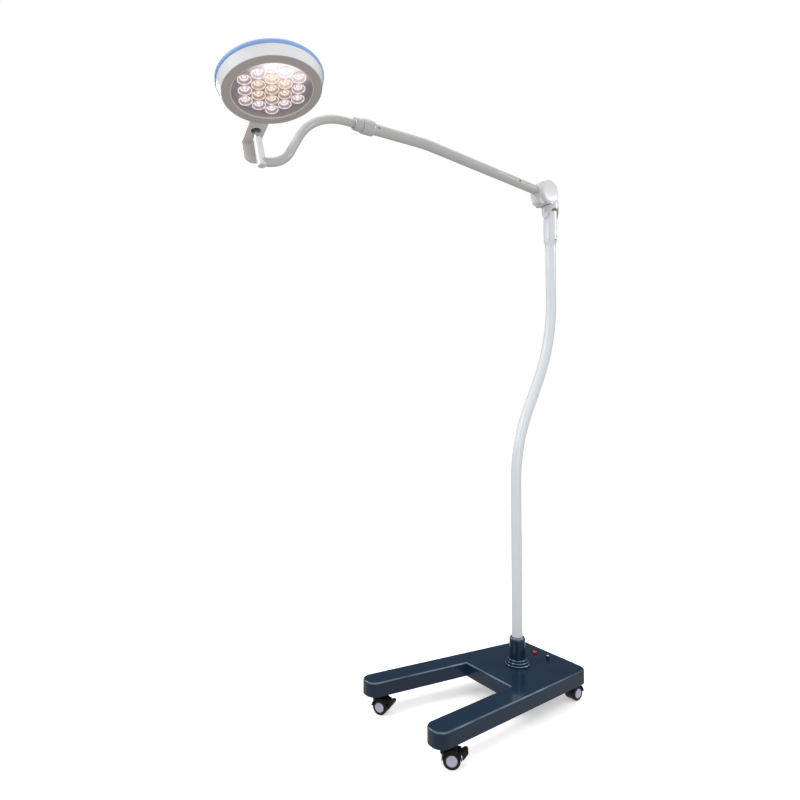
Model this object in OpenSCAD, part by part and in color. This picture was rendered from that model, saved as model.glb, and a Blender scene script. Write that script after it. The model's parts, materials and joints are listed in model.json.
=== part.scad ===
// Mobile surgical light: castered U base, S-bent column, swivelling elbow,
// level arm, rolling goose neck and a round LED head.
// Frame: +Z up, origin on the floor under the foot of the column.
// The legs, the arm and the head reach forward, toward -Y.

/* [Base] */
// Width of the base at the rear edge
base_rear_w = 320; // [280:5:360]
// Width of the base across the leg tips
base_front_w = 452; // [400:2:500]
// Y of the rear edge
base_rear_y = 180; // [170:5:200]
// Y of the leg tips
base_tip_y = -517; // [-560:1:-480]
// Y of the bottom of the U between the legs
base_gap_y = -142; // [-150:1:-130]
// Width of one leg
leg_w = 80; // [76:1:88]
// Height of the underside above the floor
base_z = 67; // [67:0.5:70]
// Height of the base housing
base_h = 47; // [44:1:54]
// Radius of the outer vertical corners
corner_r = 35; // [25:1:36]
// Rounding of the top edge
edge_r = 6; // [4:1:8]
// Sheet thickness of the housing
base_wall = 3; // [2:0.5:4]

/* [Casters] */
// Wheel diameter
wheel_d = 50; // [46:1:50]
// Width of one wheel
wheel_w = 17; // [14:1:18]
// Trail from swivel axis to axle
trail = 20; // [18:1:22]
// X of the front swivel axes
front_caster_x = 186; // [180:1:190]
// Y of the front swivel axes
front_caster_y = -470; // [-475:1:-460]
// X of the rear swivel axes
rear_caster_x = 118; // [110:1:124]
// Y of the rear swivel axes
rear_caster_y = 135; // [128:1:140]

/* [Controls] */
// X of the red button and of the knob, left and right of the column
control_x = 32; // [30:1:60]
// Y of both controls
control_y = 120; // [110:1:130]
// Diameter of the push button
button_d = 14; // [12:1:16]
// Diameter of the dimmer knob
knob_d = 12; // [11:1:14]

/* [Column] */
// Diameter of the column tube
column_d = 38; // [36:1:40]
// Wall of the column tube
column_wall = 2; // [1.5:0.5:3]
// Lean of the middle of the column in degrees
column_lean = 26; // [24:0.5:27]
// Diameter of the socket body
socket_d = 56; // [54:1:60]
// Height of the socket above the base
socket_h = 98; // [90:1:110]
// Diameter of the sleeve on top of the column
sleeve_d = 50; // [48:1:50]

/* [Elbow] */
// Diameter of the neck skirt
skirt_d = 62; // [61:1:64]
// Height of the tilt axis
elbow_z = 1842; // [1835:1:1850]
// Forward offset of the tilt axis from the swivel axis
elbow_forward = 31; // [28:1:32]
// Diameter of the knuckle
knuckle_d = 90; // [88:1:92]

/* [Arm] */
// Diameter of the arm tube
arm_d = 33; // [32:0.5:34]
// Rise of the rear stretch of the arm in degrees
arm_rise = 4.4; // [3:0.1:5]
// Droop of the front stretch of the arm in degrees
arm_droop = 1.8; // [1:0.1:3]
// Length of the rear straight stretch
arm_rear_l = 504; // [480:1:520]
// Length of the front straight stretch
arm_front_l = 190; // [180:1:210]

/* [Goose neck] */
// Diameter of the neck tube
neck_d = 24; // [23:1:25]
// Roll of the neck about the arm in degrees
neck_roll = 10.5; // [0:0.1:20]
// Radius of the first bend
bend_1_r = 188; // [180:1:200]
// Angle of the first bend
bend_1_a = 60.1; // [55:0.1:63]
// Radius of the second bend
bend_2_r = 93; // [80:1:95]
// Angle of the stem to the roll axis in degrees
stem_lean = 4.7; // [0:0.1:6]
// Diameter of the stem tube
stem_d = 23; // [21:1:23]
// Length of the stem above the neck tube
stem_up = 66; // [64:1:70]
// Length of the stem below the neck tube
stem_down = 13; // [13:1:18]

/* [Head] */
// Distance from stem axis to head axis
head_offset = 158; // [156:1:165]
// Height of the face plane above the axis of the neck tube
face_z = 89; // [88:1:92]
// Swing of the head about the stem in degrees
head_swing = 4.4; // [-20:0.1:20]
// Radius at the lower edge
face_r = 124; // [122:1:126]
// Radius of the blue rim
rim_r = 134; // [132:1:136]
// Radius of the opening
lens_r = 102.5; // [102:0.5:104]
// Distance between neighbouring lenses
led_pitch = 37.7; // [37:0.1:38]
// Diameter of one lens
led_d = 36; // [34:0.5:36.5]
// Turn of the lens pattern in degrees
led_turn = 16; // [0:0.1:60]
// Width of the bracket
bracket_w = 50; // [48:1:54]
// Reach of the bracket behind the stem
bracket_back = 64; // [60:1:70]
// Drop of the tongue below the face plane
tongue_drop = 57; // [50:1:58]

/* [Hidden] */
$fn = 64;
eps = 0.01;
run_gap = 0.05;      // radial clearance of a running shaft
base_top = base_z + base_h;
sleeve_bottom = 1648;
sleeve_top = 1775;
skirt_bottom = 1741;
skirt_arch = 45;
bush_r = 12;         // radius of the elbow spigot
pivot_r = 8;         // radius of the elbow bolt
cheek_x0 = 20.5;     // inner face of a fork cheek
cheek_x1 = 31;       // outer face of a fork cheek
hub_x = 20.1;        // half width of the arm hub
hub_r = knuckle_d / 2 - 2;
shaft_r = 5;         // radius of the head swivel shaft
tilt_z = face_z + 18;
tilt_r = 3;
collar_l = 44;
collar_z = -26;       // rear end of the collar ring
nut_l = 27;
axle_r = 3;
caster_stem_r = 5.5;
hood_r = wheel_d / 2 + 4;
web_t = 8;           // web between the twin wheels
hood_w = web_t + 2 * wheel_w + 3;
lever_pivot = [23, 19];
lever_w = 26;

// casters: [x, y, heading of the trail, has a brake]
casters = [[front_caster_x, front_caster_y, 52, true],
           [-front_caster_x, front_caster_y, 31, true],
           [rear_caster_x, rear_caster_y, 93, false],
           [-rear_caster_x, rear_caster_y, 115, false]];

// tube paths: [straight length, bend angle, bend radius] and so on
column_z0 = 80;
column_path = [[677, column_lean, 560], [150, -column_lean, 680], [280, 0, 0]];
arm_path = [[arm_rear_l, -arm_rise - arm_droop, 600], [arm_front_l, 0, 0]];
neck_path = [[69.7, bend_1_a, bend_1_r], [67, stem_lean - bend_1_a, bend_2_r], [13, 0, 0]];

// ---- helpers -------------------------------------------------------------

// end [x, y, angle] of one straight and bend that starts at p
function path_step(p, s) =
    let (a = p[2], b = a + s[1], r = sign(s[1]) * s[2])
    [p[0] + s[0] * cos(a) + r * (sin(b) - sin(a)), p[1] + s[0] * sin(a) - r * (cos(b) - cos(a)), b];
function path_end(p, path, n) = n == 0 ? p : path_step(path_end(p, path, n - 1), path[n - 1]);

// tube along a path in the local XY plane from the origin along +X
// a hidden inner sleeve joins the end of each bend to the next straight
module bent_tube(path, outer, inner, i = 0) {
    s = path[i];
    start = i == 0 ? 0 : 0.02;
    side = sign(s[1]);
    translate([start, 0, 0]) rotate([0, 90, 0]) ring(outer, inner, s[0] - start);
    if (i > 0) translate([-4, 0, 0]) rotate([0, 90, 0]) ring(outer - 0.8, inner - 0.8, 8);
    if (side != 0) translate([s[0], 0, 0]) bend(s[1], s[2], outer, inner);
    if (i < len(path) - 1)
        translate([s[0], side * s[2], 0]) rotate([0, 0, s[1]]) translate([0, -side * s[2], 0])
            bent_tube(path, outer, inner, i + 1);
}

module bend(angle, bend_r, outer, inner) {
    mirror([0, angle < 0 ? 1 : 0, 0]) translate([0, bend_r, 0]) rotate([0, 0, -90])
        rotate_extrude(angle = abs(angle), $fn = 240) translate([bend_r, 0]) rotate(-90)
            difference() {
                circle(r = outer, $fn = 48);
                circle(r = inner, $fn = 48);
            }
}

module ring(outer, inner, h) {
    difference() {
        cylinder(r = outer, h = h);
        translate([0, 0, -eps]) cylinder(r = inner, h = h + 2 * eps);
    }
}

module x_rod(r, x0, x1) {
    translate([x0, 0, 0]) rotate([0, 90, 0]) cylinder(r = r, h = x1 - x0);
}

module y_rod(r, y0, y1) {
    translate([0, y0, 0]) rotate([-90, 0, 0]) cylinder(r = r, h = y1 - y0);
}

// local x runs forward and local y up in the middle plane of the lamp
module sagittal() {
    rotate([90, 0, -90]) children();
}

swivel_y = path_end([column_z0, 0, 0], column_path, 3)[1];
column_top = path_end([column_z0, 0, 0], column_path, 3)[0];
pivot_y = swivel_y - elbow_forward;
arm_start = [25 - pivot_y, elbow_z + 3, arm_rise];
arm_end = path_end(arm_start, arm_path, 2);
neck_end = path_end([0, 0, 0], neck_path, 3);

module at_swivel() {
    translate([0, swivel_y, 0]) children();
}

module at_pivot() {
    translate([0, pivot_y, elbow_z]) children();
}

// rear end of the arm: local x forward along the arm, local y up
module along_arm() {
    sagittal() translate([arm_start[0], arm_start[1], 0]) rotate([0, 0, arm_rise]) children();
}

// end of the arm: local -Y runs forward along the arm, rolled with the neck
module at_collar() {
    translate([0, -arm_end[0], arm_end[1]]) rotate([arm_droop, 0, 0])
        rotate([0, -neck_roll, 0]) children();
}

// the same with local Z forward along the arm
module along_collar() {
    at_collar() rotate([90, 0, 0]) children();
}

// foot of the stem: local Z up along the stem
module at_stem() {
    at_collar() translate([0, -neck_end[0], -neck_end[1]]) rotate([stem_lean, 0, 0]) children();
}

// bracket: local Z on the stem's axis, local X toward the head
module at_bracket() {
    at_stem() rotate([0, 0, -head_swing]) children();
}

// head: origin at the centre of the face plane, local Z up
module at_head() {
    at_bracket() translate([head_offset, 0, face_z]) children();
}

// ---- base ----------------------------------------------------------------

// point where the line a-b, shifted left by d1, meets the line b-c, shifted left by d2
function left_of(a, b) = [a[1] - b[1], b[0] - a[0]] / norm(b - a);
function shifted_corner(a, b, c, d1, d2) =
    let (n1 = left_of(a, b), n2 = left_of(b, c), k = n1[0] * n2[1] - n1[1] * n2[0],
         e1 = n1 * b + d1, e2 = n2 * b + d2)
    [(e1 * n2[1] - e2 * n1[1]) / k, (e2 * n1[0] - e1 * n2[0]) / k];

// corners of the U, anticlockwise, with the radius of each; the two inner ones are sharp
function base_corners() =
    let (slope = (base_front_w - base_rear_w) / 2 / (base_rear_y - base_tip_y),
         gap = base_rear_w / 2 + slope * (base_rear_y - base_gap_y) - leg_w,
         tip = base_front_w / 2)
    [[base_rear_w / 2, base_rear_y, corner_r], [-base_rear_w / 2, base_rear_y, corner_r],
     [-tip, base_tip_y, corner_r], [leg_w - tip, base_tip_y, corner_r],
     [-gap, base_gap_y, 0], [gap, base_gap_y, 0],
     [tip - leg_w, base_tip_y, corner_r], [tip, base_tip_y, corner_r]];

// outline of the U, inset all round; 9 points on each rounded corner
function base_points(inset) =
    let (c = base_corners(), n = len(c))
    [for (i = [0:n - 1])
        let (a = c[(i + n - 1) % n], b = c[i], d = c[(i + 1) % n],
             r = b[2] == 0 ? 0 : b[2] - inset,
             p = [a[0], a[1]], q = [b[0], b[1]], s = [d[0], d[1]],
             m = shifted_corner(p, q, s, inset + r, inset + r),
             n1 = -left_of(p, q), n2 = -left_of(q, s),
             a1 = atan2(n1[1], n1[0]), a2 = atan2(n2[1], n2[0]),
             turn = (a2 - a1 + 540) % 360 - 180)
        for (k = r == 0 ? [0] : [0:8]) m + r * [cos(a1 + turn * k / 8), sin(a1 + turn * k / 8)]];

// the middle and the two legs, as lists of outline points
base_areas = [concat([for (i = [0:17]) i], [36, 37]), [for (i = [17:36]) i],
              concat([for (i = [37:55]) i], [0])];

// housing as one stack of outlines, its top edge rounded
module base_body() {
    steps = 6;
    levels = concat([[base_z, 0]], [for (i = [0:steps]) let (a = 90 * i / steps)
        [base_top - edge_r * (1 - sin(a)), edge_r * (1 - cos(a))]]);
    n = len(base_points(0));
    last = len(levels) - 1;
    pts = [for (l = levels) for (p = base_points(l[1])) [p[0], p[1], l[0]]];
    faces = concat(base_areas,
        [for (l = [0:last - 1]) for (i = [0:n - 1])
            [l * n + i, (l + 1) * n + i, (l + 1) * n + (i + 1) % n, l * n + (i + 1) % n]],
        [for (area = base_areas) [for (k = [len(area) - 1:-1:0]) last * n + area[k]]]);
    polyhedron(pts, faces, convexity = 8);
}

module base_shell() {
    color("#2b3e52") difference() {
        base_body();
        translate([0, 0, base_z - 1]) linear_extrude(base_h - base_wall + 1)
            polygon(base_points(base_wall));
        translate([0, 0, base_top - 10]) cylinder(r = socket_d / 2 - 8, h = 20);
        for (side = [-1, 1]) translate([side * control_x, control_y, base_top - 10])
            cylinder(r = 5.2, h = 20);
        translate([-24, base_rear_y - 10, base_z + 10]) cube([48, 20, 28]);
    }
}

module base_bottom_plate() {
    color("#3a3f45") {
        difference() {
            translate([0, 0, base_z + 0.5]) linear_extrude(2) polygon(base_points(base_wall + 0.3));
            for (c = casters) translate([c[0], c[1], base_z - 1]) cylinder(r = 10, h = 5);
        }
        for (c = casters) translate([c[0], c[1], base_z + 0.5])
            ring(11, caster_stem_r + run_gap, 30);
    }
}

module ballast() {
    color("#5b5b5e") {
        translate([-108, -130, base_z + 3]) cube([216, 88, 26]);
        for (side = [-1, 1]) translate([side * 166, -300, base_z + 3]) rotate([0, 0, side * 5.4])
            translate([-28, -125, 0]) cube([56, 250, 26]);
    }
}

module power_supply() {
    color("#9a9fa3") translate([-70, 38, base_z + 3]) cube([140, 56, 26]);
}

module mains_inlet() {
    w = 47.4;
    h = 27.4;
    color("#161616") translate([-w / 2, base_rear_y, base_z + 10.3]) {
        difference() {
            union() {
                translate([0, -22, 0]) cube([w, 22.1, h]);
                translate([-2, 0.05, -2]) cube([w + 4, 2.5, h + 4]);
            }
            translate([11, -14, 5]) cube([w - 22, 20, h - 10]);
        }
        for (i = [-1, 0, 1]) translate([w / 2 + i * 7 - 1, -14.1, h / 2 - (i == 0 ? 1 : 4)])
            cube([2, 10, 4]);
    }
}

module column_socket() {
    bore = column_d / 2;
    body = socket_d / 2;
    color("#2b3e52") translate([0, 0, base_top]) rotate_extrude() polygon([
        [bore, -36], [bore + 0.9, -36], [bore + 0.9, 0.05], [42, 0.05], [43, 2], [43, 5],
        [41, 7], [38, 7.5], [38, 13], [36.5, 15], [33.5, 15.5], [33.5, 21], [32, 23], [body, 24],
        [body, socket_h - 8], [body - 1.5, socket_h - 4], [body - 4.5, socket_h], [bore, socket_h]]);
}

module base_screws() {
    color("#b9bcc0") {
        for (p = [[200, -420], [-200, -420], [150, 60], [-150, 60], [120, -100], [-120, -100]])
            translate([p[0], p[1], base_z - 1.6]) cylinder(r = 4, h = 2.1);
        translate([sleeve_d / 2 - 0.6, swivel_y, sleeve_bottom + 17]) x_rod(2.5, 0, 1.6);
    }
}

// ---- controls ------------------------------------------------------------

module control_bodies() {
    color("#202124") {
        translate([-control_x, control_y, base_top]) {
            translate([0, 0, 0.05]) ring(button_d / 2 + 2, button_d / 2 + 0.4, 1.5);
            translate([0, 0, -24]) ring(8, 5, 20.5);
            translate([0, 0, -26]) cylinder(r = 8, h = 2.5);
        }
        translate([control_x, control_y, base_top]) {
            translate([0, 0, -18]) cylinder(r = 9, h = 14.5);
            translate([0, 0, -4]) cylinder(r = 4.5, h = 4);
        }
    }
}

module power_button() {
    color("#c8232f") translate([-control_x, control_y, base_top]) {
        translate([0, 0, 3.2]) cylinder(r = button_d / 2, h = 4.8);
        translate([0, 0, -16]) cylinder(r = 4.5, h = 19.5);
    }
}

module dimmer_knob() {
    color("#141414") translate([control_x, control_y, base_top + 0.4]) {
        difference() {
            cylinder(r1 = knob_d / 2 + 0.6, r2 = knob_d / 2, h = 13);
            for (a = [0:30:330]) rotate([0, 0, a]) translate([knob_d / 2 + 0.6, 0, 3])
                cylinder(r = 0.7, h = 12);
        }
        translate([0, 0, 13]) cylinder(r1 = knob_d / 2 - 1, r2 = knob_d / 2 - 1.8, h = 1.2);
    }
}

// ---- column --------------------------------------------------------------

module column_tube() {
    color("#dfe3e6") translate([0, 0, column_z0]) rotate([0, -90, 0])
        bent_tube(column_path, column_d / 2, column_d / 2 - column_wall);
}

module column_sleeve() {
    bore = column_d / 2 + 0.02;
    edge = sleeve_d / 2;
    color("#e9ebec") at_swivel() rotate_extrude() polygon([
        [bore, sleeve_bottom], [bore + 1, sleeve_bottom], [edge - 0.8, sleeve_bottom + 14],
        [edge - 0.8, sleeve_bottom + 18], [edge, sleeve_bottom + 20], [edge, sleeve_top],
        [bush_r + 4, sleeve_top], [bush_r + 4, column_top + 2], [bore, column_top + 2]]);
}

module sleeve_bush() {
    color("#c8a24a") at_swivel() translate([0, 0, column_top + 4]) {
        ring(bush_r + 4, bush_r + run_gap, sleeve_top - column_top - 4);
        translate([0, 0, sleeve_top - column_top - 4]) ring(sleeve_d / 2 - 2, bush_r + run_gap, 1.5);
    }
}

// ---- elbow ---------------------------------------------------------------

module elbow_fork() {
    // half an ellipse for the two arches of the skirt
    arch = [for (a = [0:9:180]) [(skirt_d / 2 + 0.2) * cos(a), skirt_arch * sin(a)]];
    color("#eceded") difference() {
        union() {
            at_swivel() {
                translate([0, 0, skirt_bottom]) cylinder(r = skirt_d / 2, h = 65);
                translate([0, 0, skirt_bottom + 65]) sphere(r = skirt_d / 2);
            }
            at_pivot() for (side = [0, 180]) rotate([0, 0, side]) {
                x_rod(knuckle_d / 2, cheek_x0, cheek_x1 - 3);
                x_rod(knuckle_d / 2 - 1.5, cheek_x0, cheek_x1 - 1);
                x_rod(knuckle_d / 2 - 4, cheek_x0, cheek_x1);
            }
        }
        at_pivot() {
            x_rod(knuckle_d / 2 + 0.6, -cheek_x0, cheek_x0);
            x_rod(pivot_r, -40, 40);
            for (side = [0, 180]) rotate([0, 0, side]) x_rod(17, cheek_x1 - 4, 40);
            translate([-cheek_x0, -80, -60]) cube([2 * cheek_x0, 80, 120]);
        }
        at_swivel() {
            translate([0, 0, skirt_bottom - 1])
                cylinder(r = sleeve_d / 2 + 1.2, h = sleeve_top - skirt_bottom + 4);
            translate([0, 0, 1700]) cylinder(r = bush_r, h = 91);
            translate([-40, 0, skirt_bottom - 0.1]) rotate([90, 0, 90]) linear_extrude(80) polygon(arch);
        }
    }
}

module knuckle_caps() {
    edge = knuckle_d / 2 - 5;
    color("#f2f2f2") at_pivot() for (side = [-1, 1])
        translate([side * (cheek_x1 + 0.05), 0, 0]) rotate([0, side * 90, 0]) rotate_extrude()
            polygon([[0, 0], [edge, 0], [edge - 0.4, 1], [edge - 2, 1.6], [20, 2.2], [0, 2.4]]);
}

module neck_spigot() {
    color("#a9adb1") at_swivel() {
        translate([0, 0, column_top + 9]) cylinder(r = bush_r, h = 1791 - column_top - 9);
        translate([0, 0, column_top + 2.4]) cylinder(r = bush_r + 2.5, h = 1.4);
        translate([0, 0, column_top + 3.7]) cylinder(r = bush_r - 3, h = 6);
    }
}

module pivot_bolt() {
    color("#a9adb1") at_pivot() {
        x_rod(pivot_r, 1 - cheek_x1, cheek_x1 - 1);
        x_rod(14, 0.5 - cheek_x1, 4 - cheek_x1);
        translate([cheek_x1 - 4, 0, 0]) rotate([0, 90, 0]) cylinder(r = 14, h = 3.5, $fn = 6);
    }
}

// ---- arm -----------------------------------------------------------------

module arm_hub() {
    // side view of the socket part, forward and up from the pivot
    wedge = [[0, 43], [26, 38], [42, 27], [46, 0], [47, -10], [62, -13], [64, -17], [62, -24],
             [38, -46], [30, -47], [14, -40], [0, -40]];
    color("#e6e8ea") difference() {
        union() {
            at_pivot() x_rod(hub_r, -hub_x, hub_x);
            intersection() {
                at_pivot() sagittal() translate([0, 0, -hub_x]) linear_extrude(2 * hub_x) polygon(wedge);
                union() {
                    at_pivot() translate([-hub_x, -45, -60]) cube([2 * hub_x, 60, 120]);
                    along_arm() x_rod(hub_x, 0, 80);
                }
            }
        }
        at_pivot() {
            x_rod(pivot_r + run_gap, -60, 60);
            x_rod(27, 8 - hub_x, hub_x - 8);
        }
        along_arm() x_rod(arm_d / 2, 0, 80);
    }
}

module friction_screw() {
    at_pivot() translate([0, -35, 0]) {
        color("#4a463c") translate([0, 0, -53]) cylinder(r = 7, h = 8, $fn = 6);
        color("#c9cbca") translate([0, 0, -59]) rotate_extrude() polygon([
            [0, 0], [7, 0], [8.5, 1.5], [8.5, 5.5], [7.5, 6.3], [0, 6.3]]);
    }
}

// helical coil about the local Z axis, swept as one closed polyhedron
module coil(coil_r, wire_r, turns, rise) {
    steps = 16;
    sides = 6;
    n = turns * steps;
    pts = [for (i = [0:n]) for (k = [0:sides - 1])
        let (a = 360 * i / steps, b = 360 * k / sides, r = coil_r + wire_r * cos(b))
        [r * cos(a), r * sin(a), rise * i / steps + wire_r * sin(b)]];
    faces = concat(
        [[for (k = [0:sides - 1]) k]],
        [for (i = [0:n - 1]) for (k = [0:sides - 1])
            [i * sides + k, (i + 1) * sides + k,
             (i + 1) * sides + (k + 1) % sides, i * sides + (k + 1) % sides]],
        [[for (k = [sides - 1:-1:0]) n * sides + k]]);
    polyhedron(pts, faces, convexity = 6);
}

module torsion_spring() {
    color("#70757a") at_pivot() translate([-9.5, 0, 0]) rotate([0, 90, 0]) coil(18, 2, 4, 4.8);
}

module arm_tube() {
    color("#d9dde0") along_arm() bent_tube(arm_path, arm_d / 2, arm_d / 2 - 2);
}

module arm_screws() {
    color("#3d3f41") {
        along_arm() translate([120, 0, -arm_d / 2 - 0.4]) cylinder(r = 3.5, h = 0.8);
        at_collar() rotate([0, neck_roll, 0]) translate([0, 36, 0]) x_rod(2.2, arm_d / 2 - 0.4, arm_d / 2 + 0.4);
    }
}

module collar_ring() {
    bore = arm_d / 2 + 0.02;
    lip = 0.6 - collar_z;
    color("#dcdfe2") along_collar() translate([0, 0, collar_z]) rotate_extrude() polygon([
        [bore, 0], [bore + 1.5, 0], [21, 4], [22.5, 9], [22.5, collar_l - 6], [21.5, collar_l - 1],
        [20.5, collar_l], [neck_d / 2 + 1, collar_l], [neck_d / 2 + 1, lip], [bore, lip]]);
}

// ---- goose neck ----------------------------------------------------------

module neck_insert() {
    color("#a9adb1") along_collar() {
        translate([0, 0, -60]) cylinder(r = arm_d / 2 - 2 - run_gap, h = 60.5);
        cylinder(r = neck_d / 2 - 2, h = 45);
    }
}

module collar_nut() {
    bore = neck_d / 2 + 0.02;
    color("#dcdfe2") along_collar() translate([0, 0, collar_z + collar_l + 0.5]) rotate_extrude()
        polygon([[bore, 0], [19, 0], [19, nut_l - 9], [18, nut_l - 7], [18, nut_l - 4],
            [19, nut_l - 3], [18.6, nut_l - 0.8], [17, nut_l], [bore, nut_l]]);
}

module neck_tube() {
    color("#d9dde0") difference() {
        at_collar() sagittal() mirror([0, 1, 0]) translate([1, 0, 0])
            bent_tube([neck_path[0] - [1, 0, 0], neck_path[1], neck_path[2]], neck_d / 2, neck_d / 2 - 2);
        at_stem() translate([0, 0, -20]) cylinder(r = stem_d / 2, h = 40);
    }
}

module stem_tube() {
    color("#eef0f1") at_stem() translate([0, 0, -stem_down]) ring(stem_d / 2, 9, stem_down + stem_up);
}

module stem_plug() {
    color("#8d8b78") at_stem() translate([0, 0, -stem_down - 2]) {
        cylinder(r1 = 9, r2 = stem_d / 2 - 0.3, h = 2);
        cylinder(r = 8.95, h = 12);
    }
}

module stem_bush() {
    color("#c8a24a") at_stem() translate([0, 0, 30]) ring(8.95, shaft_r + run_gap, stem_up - 34);
}

// ---- head joint ----------------------------------------------------------

module swivel_shaft() {
    color("#c9ced3") at_bracket() difference() {
        union() {
            translate([0, 0, 24]) cylinder(r = shaft_r, h = tilt_z - 28);
            translate([0, 0, 22]) cylinder(r = shaft_r + 2.5, h = 6);
            translate([0, 0, stem_up + 1]) cylinder(r = 9, h = 5);
            y_rod_at(tilt_z, 8, 7);
        }
        y_rod_at(tilt_z, tilt_r + run_gap, 10);
    }
}

// rod along local Y, centred on the stem's axis
module y_rod_at(z, r, half_l) {
    translate([0, 0, z]) y_rod(r, -half_l, half_l);
}

module tilt_pin() {
    color("#a9adb1") at_bracket() y_rod_at(tilt_z, tilt_r, 16.5);
}

// solid of revolution that the bracket is cut back to
module head_envelope() {
    rotate_extrude($fn = 128) polygon([[0, -4], [face_r, -4], [face_r + 0.2, 0.2],
        [face_r + 7, 25.2], [rim_r + 0.2, 25.4], [rim_r + 0.2, 60], [0, 60]]);
}

module tongue_outline() {
    r = bracket_w / 2;
    drop = tongue_drop - r;
    translate([-r, -drop]) square([2 * r, drop + 6]);
    translate([0, -drop]) circle(r = r);
}

module head_bracket() {
    cover_h = 31;
    cover_w = 34;
    tongue_t = 8;
    color("#e4e5e4") at_bracket() difference() {
        union() {
            translate([-bracket_back, -bracket_w / 2, face_z]) cube([bracket_back + 60, bracket_w, 6]);
            translate([-32, -cover_w / 2, face_z + 5]) cube([92, cover_w, cover_h - 5]);
            translate([-bracket_back, 0, face_z]) rotate([90, 0, 90])
                linear_extrude(tongue_t) tongue_outline();
        }
        translate([0, 0, face_z - 1]) cylinder(r = 14, h = 10);
        translate([-24, -12.5, face_z + 5]) cube([44, 25, cover_h - 9]);
        y_rod_at(tilt_z, tilt_r, 40);
        translate([head_offset, 0, face_z]) head_envelope();
    }
}

// ---- lamp head -----------------------------------------------------------

module head_body() {
    color("#e8eaeb") at_head() rotate_extrude($fn = 128) polygon([
        [face_r, 0.3], [face_r + 6.8, 25.3], [face_r + 4, 25.3], [face_r - 2.4, 3],
        [lens_r + 3, 3], [lens_r + 3, 0.3]]);
}

module head_rim() {
    color("#6f9bd8") at_head() rotate_extrude($fn = 128) polygon([
        [rim_r - 3.2, 25.5], [rim_r - 1, 27.5], [rim_r, 31], [rim_r - 0.6, 34.5], [rim_r - 3, 36.6],
        [rim_r - 9, 36.6], [rim_r - 9, 34], [rim_r - 4, 34], [rim_r - 3.5, 31], [rim_r - 6, 25.5]]);
}

module head_rear_cover() {
    edge = rim_r - 4.4;
    color("#eff0f0") at_head() difference() {
        rotate_extrude($fn = 128) polygon([
            [edge, 36.8], [edge - 2, 41], [edge - 8, 45], [100, 50.5], [60, 55.5], [25, 57.5],
            [0, 58], [0, 55.5], [25, 55], [60, 53], [100, 48], [edge - 9.5, 42.5],
            [edge - 4.4, 39], [edge - 4.4, 36.8]]);
        for (a = [0:15:345]) rotate([0, 0, a]) translate([66, -1.5, 45]) cube([26, 3, 20]);
    }
}

module face_ring() {
    color("#b9b3ac") at_head() rotate_extrude($fn = 128) polygon([
        [face_r - 0.4, 0], [face_r - 1.2, -1], [lens_r + 2, -2], [lens_r, -1.6], [lens_r, 1.5],
        [lens_r + 2.6, 1.5], [lens_r + 2.6, 0]]);
}

module cover_lens() {
    color("#dfe8ee", 0.35) at_head() cylinder(r = lens_r - 2.2, h = 2);
}

module lens_seal() {
    color("#d9dbdb") at_head() translate([0, 0, -0.8]) ring(lens_r - 0.2, lens_r - 2.1, 3.6);
}

// 19 places on a hexagonal grid
module led_places() {
    rotate([0, 0, -led_turn]) for (p = [-2:2]) for (q = [-2:2]) if (abs(p + q) <= 2)
        translate(led_pitch * [p + q / 2, q * sqrt(3) / 2]) children();
}

module reflector_plate() {
    color("#8f8d90") at_head() difference() {
        rotate_extrude($fn = 96) polygon([
            [0, 13], [97, 13], [100, 3.2], [102, 3.2], [102, 5], [99, 15], [0, 15]]);
        led_places() translate([0, 0, 10]) cylinder(r = led_d / 2 - 2.4, h = 10);
    }
}

module led_lenses() {
    outer = led_d / 2;
    color("#f6efe9") at_head() led_places() rotate_extrude() polygon([
        [0, 4.6], [outer - 3, 4], [outer, 4.4], [outer, 7], [outer - 2.6, 12.9],
        [outer - 5.2, 17], [8, 21], [4.5, 21.6], [4.5, 19], [0, 18]]);
}

module led_board() {
    color("#e9eae6") at_head() {
        difference() {
            translate([0, 0, 24]) cylinder(r = 97, h = 1.6);
            for (a = [0:120:240]) rotate([0, 0, a]) translate([90, 0, 20]) cylinder(r = 1.8, h = 10);
        }
        led_places() translate([-1.8, -1.8, 22.4]) cube([3.6, 3.6, 1.6 + eps]);
    }
}

module heat_sink() {
    color("#9aa0a5") at_head() intersection() {
        union() {
            translate([0, 0, 25.7]) cylinder(r = 97, h = 4);
            for (i = [-8:8]) translate([i * 11 - 1.2, -95, 29]) cube([2.4, 190, 14]);
        }
        translate([0, 0, 20]) cylinder(r = 97, h = 30);
    }
}

// ---- casters -------------------------------------------------------------

// caster: origin on the floor under the swivel axis, local X is the trail
module at_caster(c) {
    translate([c[0], c[1], 0]) rotate([0, 0, c[2]]) children();
}

module at_axle(c) {
    at_caster(c) translate([trail, 0, wheel_d / 2]) children();
}

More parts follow.
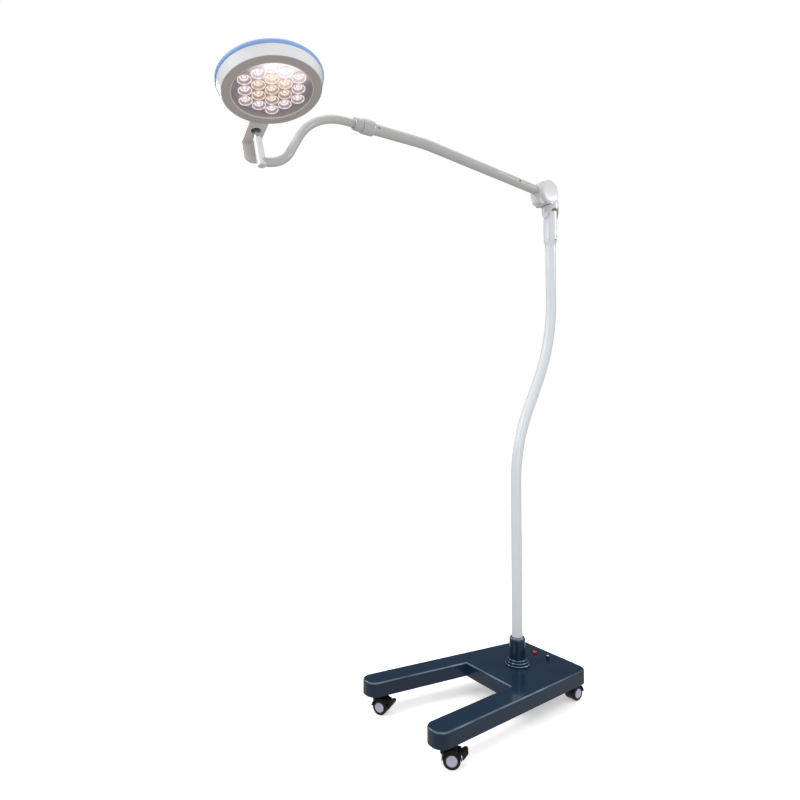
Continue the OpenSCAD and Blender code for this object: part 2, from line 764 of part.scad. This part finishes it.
module caster_fork(c) {
    clear_r = wheel_d / 2 + 1;
    color("#17181a") difference() {
        union() {
            at_caster(c) translate([0, 0, 38]) cylinder(r = 13, h = base_z - 38.6);
            at_axle(c) {
                difference() {
                    y_rod(hood_r, -hood_w / 2, hood_w / 2);
                    y_rod(clear_r, -hood_w / 2 - 1, hood_w / 2 + 1);
                    translate([-60, -40, -60]) cube([120, 80, 62]);
                    if (c[3]) translate([lever_pivot[0] - 5, -lever_w / 2 - 0.5, -2])
                        cube([30, lever_w + 1, 30]);
                }
                y_rod(hood_r - 5, -web_t / 2, web_t / 2);
                if (c[3]) for (side = [-1, 1]) translate([lever_pivot[0], side * 16.5, lever_pivot[1]])
                    y_rod(4.5, -3, 3);
            }
        }
        at_axle(c) {
            for (side = [0, 180]) rotate([0, 0, side]) y_rod(clear_r, web_t / 2, hood_w);
            y_rod(axle_r, -40, 40);
            if (c[3]) translate([lever_pivot[0], 0, lever_pivot[1]]) y_rod(1.55, -30, 30);
        }
        at_caster(c) translate([0, 0, 44]) cylinder(r = caster_stem_r, h = 60);
    }
}

module caster_pins(c) {
    color("#b4b8bc") {
        at_caster(c) translate([0, 0, 44]) cylinder(r = caster_stem_r, h = base_z - 18);
        at_axle(c) y_rod(axle_r, -web_t / 2 - wheel_w + 2.2, web_t / 2 + wheel_w - 2.2);
    }
}

module caster_wheel(c, side) {
    gap = 0.6;
    edge = wheel_d / 2;
    color("#1d1e20") at_axle(c) translate([0, side * (web_t / 2 + gap), 0])
        rotate([-90 * side, 0, 0]) rotate_extrude() polygon([
            [axle_r + run_gap, 0], [edge - 2, 0], [edge, 2], [edge, wheel_w - 3],
            [edge - 3, wheel_w], [17, wheel_w], [16.5, wheel_w - 0.8], [0, wheel_w - 0.8],
            [0, wheel_w - 2.4], [axle_r + run_gap, wheel_w - 2.4]]);
}

module brake_lever(c) {
    color("#17181a") at_axle(c) {
        translate([0, lever_w / 2, 0]) rotate([90, 0, 0]) linear_extrude(lever_w) polygon([
            [20.5, 19.5], [22, 22.5], [25, 23.5], [29, 21.5], [34, 24.5], [38.5, 26.5], [43, 26.5],
            [46, 24.5], [47, 21], [45.5, 16.5], [40, 9], [33.5, 1], [30.5, 0], [29.5, 2],
            [30, 9], [27, 15.5], [21.5, 17]]);
        translate([lever_pivot[0], 0, lever_pivot[1]]) y_rod(1.5, -19, 19);
    }
}

// ---- assembly ------------------------------------------------------------

base_shell();
base_bottom_plate();
ballast();
power_supply();
mains_inlet();
column_socket();
base_screws();
column_tube();
column_sleeve();
sleeve_bush();
control_bodies();
power_button();
dimmer_knob();
elbow_fork();
knuckle_caps();
neck_spigot();
pivot_bolt();
arm_hub();
friction_screw();
torsion_spring();
arm_tube();
arm_screws();
collar_ring();
neck_insert();
collar_nut();
neck_tube();
stem_tube();
stem_plug();
stem_bush();
swivel_shaft();
tilt_pin();
head_bracket();
head_body();
head_rim();
head_rear_cover();
face_ring();
cover_lens();
lens_seal();
reflector_plate();
led_lenses();
led_board();
heat_sink();
caster_fork(casters[0]);  // caster_fork_fr
caster_pins(casters[0]);  // caster_pins_fr
caster_wheel(casters[0], 1);  // caster_wheel_fr_a
caster_wheel(casters[0], -1);  // caster_wheel_fr_b
caster_fork(casters[1]);  // caster_fork_fl
caster_pins(casters[1]);  // caster_pins_fl
caster_wheel(casters[1], 1);  // caster_wheel_fl_a
caster_wheel(casters[1], -1);  // caster_wheel_fl_b
caster_fork(casters[2]);  // caster_fork_rr
caster_pins(casters[2]);  // caster_pins_rr
caster_wheel(casters[2], 1);  // caster_wheel_rr_a
caster_wheel(casters[2], -1);  // caster_wheel_rr_b
caster_fork(casters[3]);  // caster_fork_rl
caster_pins(casters[3]);  // caster_pins_rl
caster_wheel(casters[3], 1);  // caster_wheel_rl_a
caster_wheel(casters[3], -1);  // caster_wheel_rl_b
brake_lever(casters[0]);  // brake_lever_fr
brake_lever(casters[1]);  // brake_lever_fl
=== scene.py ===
"""Looks of the mobile surgical light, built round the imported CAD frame. Metres, +Z up, -Y forward."""
import json
import math

import bmesh
import bpy
from mathutils import Matrix, Vector


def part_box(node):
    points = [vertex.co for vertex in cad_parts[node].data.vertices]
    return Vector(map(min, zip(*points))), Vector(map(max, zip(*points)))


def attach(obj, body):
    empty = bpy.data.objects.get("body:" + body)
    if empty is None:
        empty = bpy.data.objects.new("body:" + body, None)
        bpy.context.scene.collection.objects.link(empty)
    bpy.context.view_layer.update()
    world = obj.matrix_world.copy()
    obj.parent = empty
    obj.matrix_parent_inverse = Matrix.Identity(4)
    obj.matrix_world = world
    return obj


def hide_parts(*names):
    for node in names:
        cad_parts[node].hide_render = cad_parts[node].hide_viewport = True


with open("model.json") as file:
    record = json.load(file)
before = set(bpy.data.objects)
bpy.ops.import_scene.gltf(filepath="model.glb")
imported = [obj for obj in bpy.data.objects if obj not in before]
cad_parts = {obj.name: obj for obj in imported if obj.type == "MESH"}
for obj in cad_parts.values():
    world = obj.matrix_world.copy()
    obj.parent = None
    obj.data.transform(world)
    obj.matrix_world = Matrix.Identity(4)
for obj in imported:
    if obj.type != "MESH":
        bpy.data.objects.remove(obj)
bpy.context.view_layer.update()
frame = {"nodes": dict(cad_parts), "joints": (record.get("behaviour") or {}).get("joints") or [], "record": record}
nodes = frame["nodes"]
joints = {j["name"]: j for j in frame["joints"]}
scene = bpy.context.scene
MM = 0.001
HEAD_OFFSET = 158         # millimetres from the stem's axis to the head's axis
PIN_HEIGHT = 18           # millimetres from the head's face plane up to the tilt pin
LENS_PITCH = 37.7         # millimetres between neighbouring lenses
LENS_TURN = -16           # degrees of the lens pattern on the head
LENS_SEGMENTS = 48
PETALS = 6                # facets of the optic that show as darker and lighter sectors
CEILING_LIGHT = 1.5       # radiance of the ceiling; the next two are shares of it
WALL_LIGHT = 0.075
GROUND_LIGHT = 0.4


# ---- camera, lights and floor ------------------------------------------------

def add_camera():
    data = bpy.data.cameras.new("camera")
    data.lens = 26.06
    data.sensor_width = 36
    data.clip_start = 0.05
    camera = bpy.data.objects.new("camera", data)
    camera.location = (1.518, -1.496, 0.972)
    camera.rotation_euler = (math.radians(92.2), 0, math.radians(56.7))
    scene.collection.objects.link(camera)
    scene.camera = camera


def add_area_light(name, place, target, size, power, shine=1.0):
    data = bpy.data.lights.new(name, "AREA")
    data.shape = "RECTANGLE"
    data.size, data.size_y = size
    data.energy = power
    data.specular_factor = shine
    light = bpy.data.objects.new(name, data)
    light.location = place
    light.rotation_euler = (Vector(target) - Vector(place)).to_track_quat("-Z", "Y").to_euler()
    scene.collection.objects.link(light)


def add_world():
    """A white background for the camera; the object is lit by a bright ceiling and dimmer walls and ground."""
    world = bpy.data.worlds.new("studio")
    world.use_nodes = True
    tree = world.node_tree
    new, link = tree.nodes.new, tree.links.new
    lit = tree.nodes["Background"]
    place = new("ShaderNodeTexCoord")
    split = new("ShaderNodeSeparateXYZ")
    height = new("ShaderNodeMapRange")
    height.inputs["From Min"].default_value = -1
    ramp = new("ShaderNodeValToRGB")
    stops = [(0.0, GROUND_LIGHT), (0.44, GROUND_LIGHT), (0.52, WALL_LIGHT), (0.77, WALL_LIGHT),
             (0.92, 1.0), (1.0, 1.0)]
    while len(ramp.color_ramp.elements) < len(stops):
        ramp.color_ramp.elements.new(0.5)
    for element, (where, value) in zip(ramp.color_ramp.elements, stops):
        element.position = where
        element.color = (value, value, value, 1)
    link(place.outputs["Generated"], split.inputs["Vector"])
    link(split.outputs["Z"], height.inputs["Value"])
    link(height.outputs["Result"], ramp.inputs["Fac"])
    link(ramp.outputs["Color"], lit.inputs["Color"])
    lit.inputs["Strength"].default_value = CEILING_LIGHT
    seen = new("ShaderNodeBackground")
    seen.inputs["Color"].default_value = (1, 1, 1, 1)
    rays = new("ShaderNodeLightPath")
    mix = new("ShaderNodeMixShader")
    link(rays.outputs["Is Camera Ray"], mix.inputs["Fac"])
    link(lit.outputs["Background"], mix.inputs[1])
    link(seen.outputs["Background"], mix.inputs[2])
    link(mix.outputs["Shader"], tree.nodes["World Output"].inputs["Surface"])
    scene.world = world


def add_floor():
    """A plain white floor that takes shadows and throws no light back up."""
    size = 40
    mesh = bpy.data.meshes.new("floor")
    mesh.from_pydata([(-size, -size, 0), (size, -size, 0), (size, size, 0), (-size, size, 0)], [], [(0, 1, 2, 3)])
    floor = bpy.data.objects.new("floor", mesh)
    floor.visible_diffuse = False
    floor.visible_glossy = False
    scene.collection.objects.link(floor)
    mat = bpy.data.materials.new("floor_white")
    mat.use_nodes = True
    shader = mat.node_tree.nodes["Principled BSDF"]
    shader.inputs["Base Color"].default_value = (0.94, 0.94, 0.94, 1)
    shader.inputs["Roughness"].default_value = 1
    shader.inputs["Specular IOR Level"].default_value = 0
    shader.inputs["Emission Color"].default_value = (1, 1, 1, 1)
    shader.inputs["Emission Strength"].default_value = 0.4
    mesh.materials.append(mat)


def add_studio():
    scene.view_settings.view_transform = "Standard"
    add_world()
    add_floor()
    add_area_light("key", (-0.5, -3.6, 3.2), (0, -0.4, 1.0), (1.4, 1.4), 64)
    add_area_light("strip_left", (-2.8, -1.6, 2.3), (0, -0.3, 0.1), (0.5, 1.8), 22, shine=0.15)
    add_area_light("strip_right", (1.9, 2.6, 2.7), (0, -0.2, 0.1), (1.8, 0.5), 36)
    add_area_light("fill", (3.4, -1.2, 1.6), (0, -0.3, 1.2), (2.2, 2.2), 45)


# ---- materials -----------------------------------------------------------------

def painted_edge_highlight(tree, place, patches, paint, colour):
    """Mixes a painted highlight colour in where the object's normal is between level and upright, unevenly along
    the edge.
    """
    new, link = tree.nodes.new, tree.links.new
    split = new("ShaderNodeSeparateXYZ")
    link(place.outputs["Normal"], split.inputs["Vector"])
    band = new("ShaderNodeValToRGB")
    stops = [(0.25, 0), (0.5, 0.85), (0.78, 0.85), (0.95, 0)]
    while len(band.color_ramp.elements) < len(stops):
        band.color_ramp.elements.new(0.5)
    for element, (where, value) in zip(band.color_ramp.elements, stops):
        element.position = where
        element.color = (value, value, value, 1)
    link(split.outputs["Z"], band.inputs["Fac"])
    uneven = new("ShaderNodeMapRange")
    uneven.inputs["From Min"].default_value = 0.35
    uneven.inputs["From Max"].default_value = 0.65
    uneven.inputs["To Min"].default_value = 0.25
    link(patches.outputs["Fac"], uneven.inputs["Value"])
    amount = new("ShaderNodeMath")
    amount.operation = "MULTIPLY"
    link(band.outputs["Color"], amount.inputs[0])
    link(uneven.outputs["Result"], amount.inputs[1])
    mix = new("ShaderNodeMix")
    mix.data_type = "RGBA"
    link(amount.outputs["Value"], mix.inputs["Factor"])
    link(paint, mix.inputs["A"])
    mix.inputs["B"].default_value = (*colour, 1)
    return mix.outputs["Result"]


def surface(name, colour, rough=0.4, metal=0.0, coat=0.0, mottle=0.04, grain=400.0, bump=0.05,
            stretch=(1, 1, 1), edge=None, **sockets):
    """A moulded, painted or metal surface: colour mottling, uneven gloss and fine bump from noise.

    With an edge colour, the surface gets a painted highlight: lighter colour where it turns from top to side."""
    mat = bpy.data.materials.new(name)
    mat.use_nodes = True
    tree = mat.node_tree
    new, link = tree.nodes.new, tree.links.new
    shader = tree.nodes["Principled BSDF"]
    shader.inputs["Metallic"].default_value = metal
    shader.inputs["Coat Weight"].default_value = coat
    shader.inputs["Coat Roughness"].default_value = 0.06
    for socket, value in sockets.items():
        shader.inputs[socket.replace("_", " ")].default_value = value

    place = new("ShaderNodeTexCoord")
    mapping = new("ShaderNodeMapping")
    mapping.inputs["Scale"].default_value = stretch
    link(place.outputs["Object"], mapping.inputs["Vector"])

    patches = new("ShaderNodeTexNoise")
    patches.inputs["Scale"].default_value = 9
    patches.inputs["Detail"].default_value = 4
    link(place.outputs["Object"], patches.inputs["Vector"])
    tint = new("ShaderNodeMapRange")
    tint.inputs["To Min"].default_value = 1 - mottle
    tint.inputs["To Max"].default_value = 1 + mottle
    link(patches.outputs["Fac"], tint.inputs["Value"])
    shade = new("ShaderNodeMix")
    shade.data_type = "RGBA"
    shade.blend_type = "MULTIPLY"
    shade.inputs["Factor"].default_value = 1
    shade.inputs["A"].default_value = (*colour, 1)
    link(tint.outputs["Result"], shade.inputs["B"])
    paint = shade.outputs["Result"]
    # the edge colour is a painted highlight along the rounded top edges
    if edge:
        paint = painted_edge_highlight(tree, place, patches, paint, edge)
    link(paint, shader.inputs["Base Color"])

    fine = new("ShaderNodeTexNoise")
    fine.inputs["Scale"].default_value = grain
    fine.inputs["Detail"].default_value = 3
    link(mapping.outputs["Vector"], fine.inputs["Vector"])
    gloss = new("ShaderNodeMapRange")
    gloss.inputs["To Min"].default_value = max(rough - 0.08, 0.03)
    gloss.inputs["To Max"].default_value = rough + 0.08
    link(fine.outputs["Fac"], gloss.inputs["Value"])
    link(gloss.outputs["Result"], shader.inputs["Roughness"])
    relief = new("ShaderNodeBump")
    relief.inputs["Strength"].default_value = bump
    relief.inputs["Distance"].default_value = 0.0006
    link(fine.outputs["Fac"], relief.inputs["Height"])
    link(relief.outputs["Normal"], shader.inputs["Normal"])
    return mat


MAT = {
    # base_navy's edge colour is a painted highlight on the base's rounded top edges
    "base_navy": surface("base_navy", (0.007, 0.023, 0.048), 0.2, coat=0.35, mottle=0.16, grain=260, bump=0.06,
                         edge=(0.2, 0.27, 0.36), Specular_IOR_Level=0.2),
    "bottom_plate": surface("bottom_plate", (0.03, 0.045, 0.06), 0.5, mottle=0.1),
    "steel": surface("steel", (0.42, 0.43, 0.44), 0.35, metal=1, stretch=(1, 1, 14), mottle=0.08),
    "driver_case": surface("driver_case", (0.6, 0.62, 0.63), 0.4, metal=1),
    "black_plastic": surface("black_plastic", (0.012, 0.012, 0.014), 0.42, bump=0.12, grain=900),
    "caster_black": surface("caster_black", (0.006, 0.006, 0.007), 0.38, mottle=0.1, bump=0.1, grain=700,
                            Specular_IOR_Level=0.35),
    "wheel_tread": surface("wheel_tread", (0.008, 0.008, 0.009), 0.55, mottle=0.15, bump=0.15, grain=800,
                           Specular_IOR_Level=0.3),
    "button_red": surface("button_red", (0.55, 0.01, 0.02), 0.25, coat=0.4, grain=500),
    # tube_white, column_white, stem_white and elbow_white are one white paint in painted lit and shaded copies:
    # darkest on the arm and neck, lightest on the stem
    "tube_white": surface("tube_white", (0.49, 0.48, 0.465), 0.36, coat=0.2, mottle=0.03, grain=900, bump=0.05),
    "column_white": surface("column_white", (0.72, 0.745, 0.78), 0.34, coat=0.2, mottle=0.02, grain=900, bump=0.05),
    "stem_white": surface("stem_white", (0.8, 0.8, 0.8), 0.25, coat=0.4, mottle=0.02, grain=900, bump=0.03),
    "elbow_white": surface("elbow_white", (0.68, 0.685, 0.7), 0.36, coat=0.2, mottle=0.02, grain=900, bump=0.05),
    "white_plastic": surface("white_plastic", (0.84, 0.85, 0.87), 0.3, coat=0.25, mottle=0.02, grain=700),
    "brass_bush": surface("brass_bush", (0.7, 0.5, 0.22), 0.3, metal=1),
    "chrome_shaft": surface("chrome_shaft", (0.75, 0.76, 0.78), 0.12, metal=1, mottle=0.03, bump=0.02),
    "zinc_screw": surface("zinc_screw", (0.07, 0.07, 0.06), 0.4, metal=0.6),
    "plug_olive": surface("plug_olive", (0.62, 0.62, 0.58), 0.5),
    "rim_blue": surface("rim_blue", (0.26, 0.44, 0.8), 0.45, mottle=0.06, Subsurface_Weight=0.2,
                        Specular_IOR_Level=0.2),
    # face_beige and the bracket's finish are the head's white paint darkened to a warm grey as painted shade, for
    # the undersides of the face ring and bracket
    "face_beige": surface("face_beige", (0.42, 0.385, 0.355), 0.36, coat=0.15, mottle=0.03, grain=600),
    "bracket_shaded_grey": surface("bracket_shaded_grey", (0.62, 0.58, 0.55), 0.34, coat=0.2, mottle=0.03, grain=600),
    "seal_grey": surface("seal_grey", (0.72, 0.7, 0.7), 0.35),
    "reflector_grey": surface("reflector_grey", (0.34, 0.3, 0.31), 0.3),
    "board_white": surface("board_white", (0.7, 0.7, 0.66), 0.4),
    "sink_alu": surface("sink_alu", (0.6, 0.61, 0.63), 0.35, metal=1, stretch=(1, 12, 1)),
    "hub_lavender": surface("hub_lavender", (0.5, 0.51, 0.66), 0.3, coat=0.3, mottle=0.04, grain=600),
}


def clear(name, colour, rough):
    mat = bpy.data.materials.new(name)
    mat.use_nodes = True
    shader = mat.node_tree.nodes["Principled BSDF"]
    shader.inputs["Base Color"].default_value = (*colour, 1)
    shader.inputs["Roughness"].default_value = rough
    shader.inputs["Alpha"].default_value = 0.1
    return mat


MAT["clear_lens"] = clear("clear_lens", (1, 1, 1), 0.02)
MAT["lens_optic"] = MAT["clear_lens"]


def dress_cad():
    """Every CAD node gets its slot's material, and smooth shading except at its edges."""
    slots = {s["node"]: s["material_slot"] for s in frame["record"]["subparts"]}
    finishes = {"column_tube": "column_white", "column_sleeve": "column_white", "stem_tube": "stem_white",
                "head_bracket": "bracket_shaded_grey", "friction_screw": "tube_white", "head_rear_cover": "elbow_white"}
    for name, obj in nodes.items():
        obj.data.materials.clear()
        obj.data.materials.append(MAT[finishes.get(name, slots[name])])
        obj.data.shade_smooth()
        obj.data.set_sharp_from_angle(angle=math.radians(28))


# ---- mesh helpers -----------------------------------------------------------------

def finish_piece(name, bm, material, body, replaced=(), smooth=40):
    bmesh.ops.recalc_face_normals(bm, faces=bm.faces)
    mesh = bpy.data.meshes.new(name)
    bm.to_mesh(mesh)
    bm.free()
    mesh.materials.append(MAT[material])
    mesh.shade_smooth()
    mesh.set_sharp_from_angle(angle=math.radians(smooth))
    obj = bpy.data.objects.new(name, mesh)
    scene.collection.objects.link(obj)
    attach(obj, body)
    if replaced:
        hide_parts(*replaced)
    return obj


def revolve(bm, profile, matrix, segments=64):
    """Turns [(radius, height)] about local Z; a radius of 0 closes the end."""
    rings = []
    for radius, height in profile:
        if radius < 1e-7:
            rings.append([bm.verts.new(matrix @ Vector((0, 0, height)))])
        else:
            rings.append([bm.verts.new(matrix @ Vector((radius * math.cos(a), radius * math.sin(a), height)))
                          for a in (2 * math.pi * k / segments for k in range(segments))])
    for low, high in zip(rings, rings[1:]):
        for k in range(segments):
            n = (k + 1) % segments
            face = [low[k % len(low)], low[n % len(low)], high[n % len(high)], high[k % len(high)]]
            unique = list(dict.fromkeys(face))
            if len(unique) > 2:
                bm.faces.new(unique)
    return rings


def basis(origin, z, y):
    """Matrix of a frame from its origin, its Z and its Y directions."""
    z = Vector(z).normalized()
    y = Vector(y).normalized()
    x = y.cross(z).normalized()
    y = z.cross(x)
    return Matrix.Translation(Vector(origin)) @ Matrix((x, y, z)).transposed().to_4x4()


# ---- frame of the head ----------------------------------------------------

stem_axis = Vector(joints["head_swivel"]["axis"])
tilt_axis = Vector(joints["head_tilt"]["axis"])
BRACKET = basis(Vector(joints["head_tilt"]["pos_m"]) - PIN_HEIGHT * MM * stem_axis, stem_axis, tilt_axis)
HEAD = BRACKET @ Matrix.Translation((HEAD_OFFSET * MM, 0, 0))    # centre of the face plane, Z up


# ---- casters --------------------------------------------------------------------------

def add_hub_caps():
    profile = [(0, 21.9), (2.6, 21.9), (3.4, 21.2), (4.4, 21.2), (5.2, 22.2), (8, 22.6), (12.6, 22.3),
               (14.6, 21.8), (15.8, 21.1), (16.3, 20.2), (16.3, 19.6), (0, 19.6)]
    for caster in ("fr", "fl", "rr", "rl"):
        for side, sign in (("a", 1), ("b", -1)):
            joint = joints[f"wheel_spin_{caster}_{side}"]
            out = Vector(joint["axis"]) * sign
            bm = bmesh.new()
            revolve(bm, [(r * MM, h * MM) for r, h in profile], basis(joint["pos_m"], out, (0, 0, 1)), 48)
            finish_piece(f"hub_cap_{caster}_{side}", bm, "hub_lavender", f"wheel_{caster}_{side}")


# ---- controls ----------------------------------------------------------------------------

def add_control_caps():
    low, high = (Vector(c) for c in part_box("dimmer_knob"))
    foot = basis(((low.x + high.x) / 2, (low.y + high.y) / 2, high.z), (0, 0, 1), (0, 1, 0))
    bm = bmesh.new()
    revolve(bm, [(4.6 * MM, -0.6 * MM), (4.6 * MM, 0.1 * MM), (4.2 * MM, 0.5 * MM), (0, 0.7 * MM)], foot, 40)
    finish_piece("knob_cap", bm, "hub_lavender", "dimmer_knob")
    low, high = (Vector(c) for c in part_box("power_button"))
    top = basis(((low.x + high.x) / 2, (low.y + high.y) / 2, high.z), (0, 0, 1), (0, 1, 0))
    radius = (high.x - low.x) / 2
    bm = bmesh.new()
    revolve(bm, [(radius + 0.1 * MM, -1.2 * MM), (radius + 0.1 * MM, 0), (radius * 0.86, 0.9 * MM),
                 (radius * 0.5, 1.5 * MM), (0, 1.7 * MM)], top, 40)
    finish_piece("button_dome", bm, "button_red", "power_button", smooth=60)


# ---- lamp optics ------------------------------------------------------------------------

def lens_places():
    """(x, y, ring) of the 19 lenses on the face, in millimetres; ring 0 is the centre."""
    turn = math.radians(LENS_TURN)
    for p in range(-2, 3):
        for q in range(-2, 3):
            if abs(p + q) <= 2:
                x, y = LENS_PITCH * (p + q / 2), LENS_PITCH * q * math.sqrt(3) / 2
                yield (x * math.cos(turn) - y * math.sin(turn), x * math.sin(turn) + y * math.cos(turn),
                       max(abs(p), abs(q), abs(p + q)))


# radius, height over the face plane and glow of a lit lens, from its rim to its centre
LENS = [(17.9, 9.5, 0.1), (17.9, 6.8, 0.15), (17.3, 6.1, 0.7), (16.4, 6.1, 0.95), (15.6, 6.6, 0.6),
        (14.2, 8, 0.2), (12.6, 9.8, 0.05), (11.2, 11.4, 0.35), (9.8, 12.9, 0.85), (8.8, 13.7, 1),
        (7.8, 14.2, 0.6), (6.8, 14.4, 0.1), (5.8, 14.1, 0.35), (4.4, 13.5, 0.85), (2.4, 12.9, 1), (0, 12.7, 0.9)]


def glow_material(name, low, high, strength):
    """A lit lens: the glow stored on its vertices picks the colour and the light it gives."""
    mat = bpy.data.materials.new(name)
    mat.use_nodes = True
    tree = mat.node_tree
    new, link = tree.nodes.new, tree.links.new
    shader = tree.nodes["Principled BSDF"]
    shader.inputs["Base Color"].default_value = (0.12, 0.1, 0.1, 1)
    shader.inputs["Roughness"].default_value = 0.12
    shader.inputs["Coat Weight"].default_value = 0.5
    glow = new("ShaderNodeAttribute")
    glow.attribute_name = "glow"
    place = new("ShaderNodeTexCoord")
    speck = new("ShaderNodeTexNoise")
    speck.inputs["Scale"].default_value = 240
    speck.inputs["Detail"].default_value = 2
    link(place.outputs["Object"], speck.inputs["Vector"])
    uneven = new("ShaderNodeMapRange")
    uneven.inputs["From Min"].default_value = 0.3
    uneven.inputs["From Max"].default_value = 0.7
    uneven.inputs["To Min"].default_value = 0.72
    uneven.inputs["To Max"].default_value = 1.2
    link(speck.outputs["Fac"], uneven.inputs["Value"])
    product = new("ShaderNodeMath")
    product.operation = "MULTIPLY"
    link(glow.outputs["Fac"], product.inputs[0])
    link(uneven.outputs["Result"], product.inputs[1])
    ramp = new("ShaderNodeValToRGB")
    ramp.color_ramp.elements[0].color = (*low, 1)
    ramp.color_ramp.elements[1].color = (*high, 1)
    link(product.outputs["Value"], ramp.inputs["Fac"])
    link(ramp.outputs["Color"], shader.inputs["Emission Color"])
    shader.inputs["Emission Strength"].default_value = strength
    return mat


def paint_reflector_glow():
    """Painted glow on the reflector plate: emission standing in for the lenses' light falling on it, most by the
    outer edge of the head.
    """
    tree = MAT["reflector_grey"].node_tree
    new, link = tree.nodes.new, tree.links.new
    place = new("ShaderNodeTexCoord")
    reach = new("ShaderNodeVectorMath")
    reach.operation = "DISTANCE"
    reach.inputs[1].default_value = HEAD @ Vector((90 * MM, 0, 10 * MM))
    link(place.outputs["Object"], reach.inputs[0])
    glow = new("ShaderNodeMapRange")
    glow.interpolation_type = "SMOOTHSTEP"
    glow.inputs["From Min"].default_value = 0.02
    glow.inputs["From Max"].default_value = 0.11
    glow.inputs["To Min"].default_value = 1
    glow.inputs["To Max"].default_value = 0.03
    link(reach.outputs["Value"], glow.inputs["Value"])
    shader = tree.nodes["Principled BSDF"]
    shader.inputs["Emission Color"].default_value = (1, 0.86, 0.88, 1)
    link(glow.outputs["Result"], shader.inputs["Emission Strength"])


def add_lenses():
    MAT["led_warm"] = glow_material("led_warm", (0.16, 0.07, 0.05), (1, 0.84, 0.72), 1.4)
    MAT["led_cool"] = glow_material("led_cool", (0.12, 0.07, 0.075), (1, 0.9, 0.92), 1.45)
    paint_reflector_glow()
    for name, rings, replaced in (("led_warm", (0, 1), ["led_lenses"]), ("led_cool", (2,), [])):
        bm = bmesh.new()
        layer = bm.verts.layers.float.new("glow")
        for x, y, ring in lens_places():
            if ring in rings:
                made = revolve(bm, [(r * MM, h * MM) for r, h, _ in LENS],
                               HEAD @ Matrix.Translation((x * MM, y * MM, 0)), LENS_SEGMENTS)
                # painted pool of light on top of each lens's own glow: the lenses by the outer edge shine brightest
                painted_light_pool = 0.95 * max(0, 1 - math.hypot(x - 90, y) / 100)
                for verts, (_, _, glow) in zip(made, LENS):
                    for k, v in enumerate(verts):
                        facet = 0.86 + 0.14 * math.cos(2 * math.pi * PETALS * k / LENS_SEGMENTS + ring)
                        v[layer] = min(1, glow * facet * (1 - painted_light_pool) + painted_light_pool)
        finish_piece(name, bm, name, "head", replaced, smooth=80)


add_camera()
add_studio()
dress_cad()
add_hub_caps()
add_control_caps()
add_lenses()
